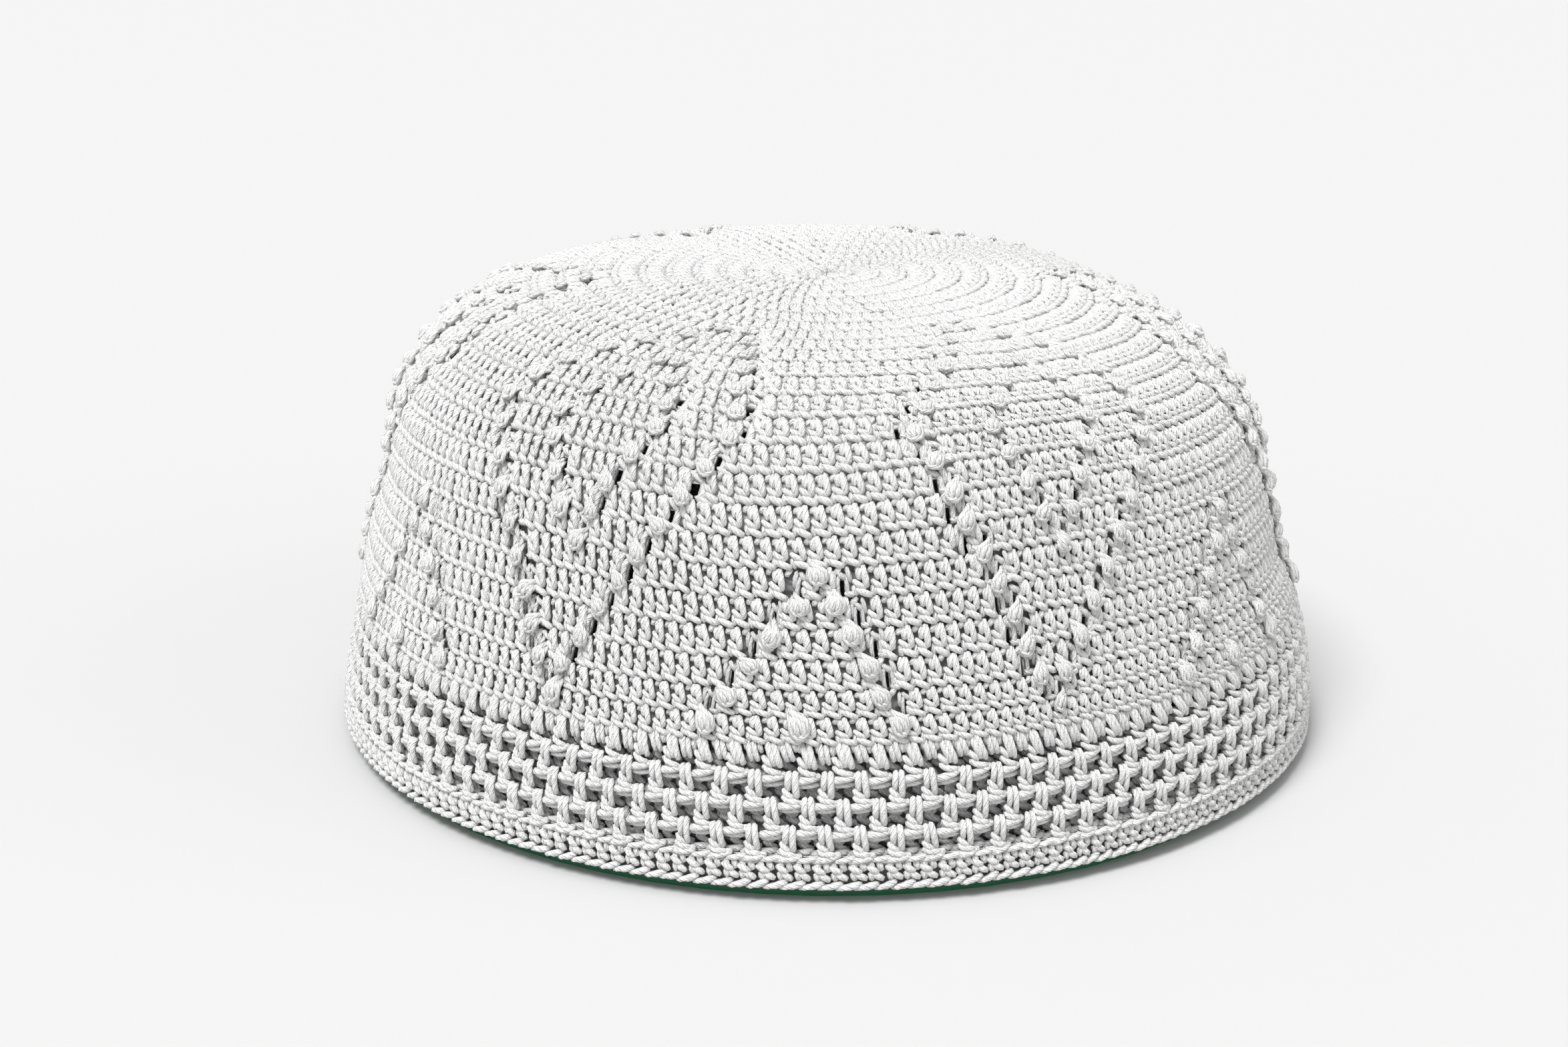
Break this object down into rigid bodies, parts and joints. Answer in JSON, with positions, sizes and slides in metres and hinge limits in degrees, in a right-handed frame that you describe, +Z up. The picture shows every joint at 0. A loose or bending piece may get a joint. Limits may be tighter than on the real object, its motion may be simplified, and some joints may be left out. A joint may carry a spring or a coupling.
{
  "type": "crocheted kufi with stiffening ring",
  "caption": "Round brimless cap of white crocheted cotton with a low domed crown, raised bobble leaves, an openwork band and a green ring inside the hem.",
  "frame": {"origin": "centre of the ring's flat underside, on the surface that the cap rests on", "axes": "+Z up along the cap's axis to the crown's centre, -Y towards the front that the picture shows, +X to the right seen from the front"},
  "size_m": [0.1804, 0.1804, 0.0825],
  "materials": {
    "cotton": "matte white cotton yarn",
    "ring": "matte dark green"
  },
  "bodies": {
    "root": {"crown": "cotton", "side_wall": "cotton", "openwork_band": "cotton", "inner_band": "cotton", "hem": "cotton", "stiffener": "ring"}
  },
  "joints": []
}
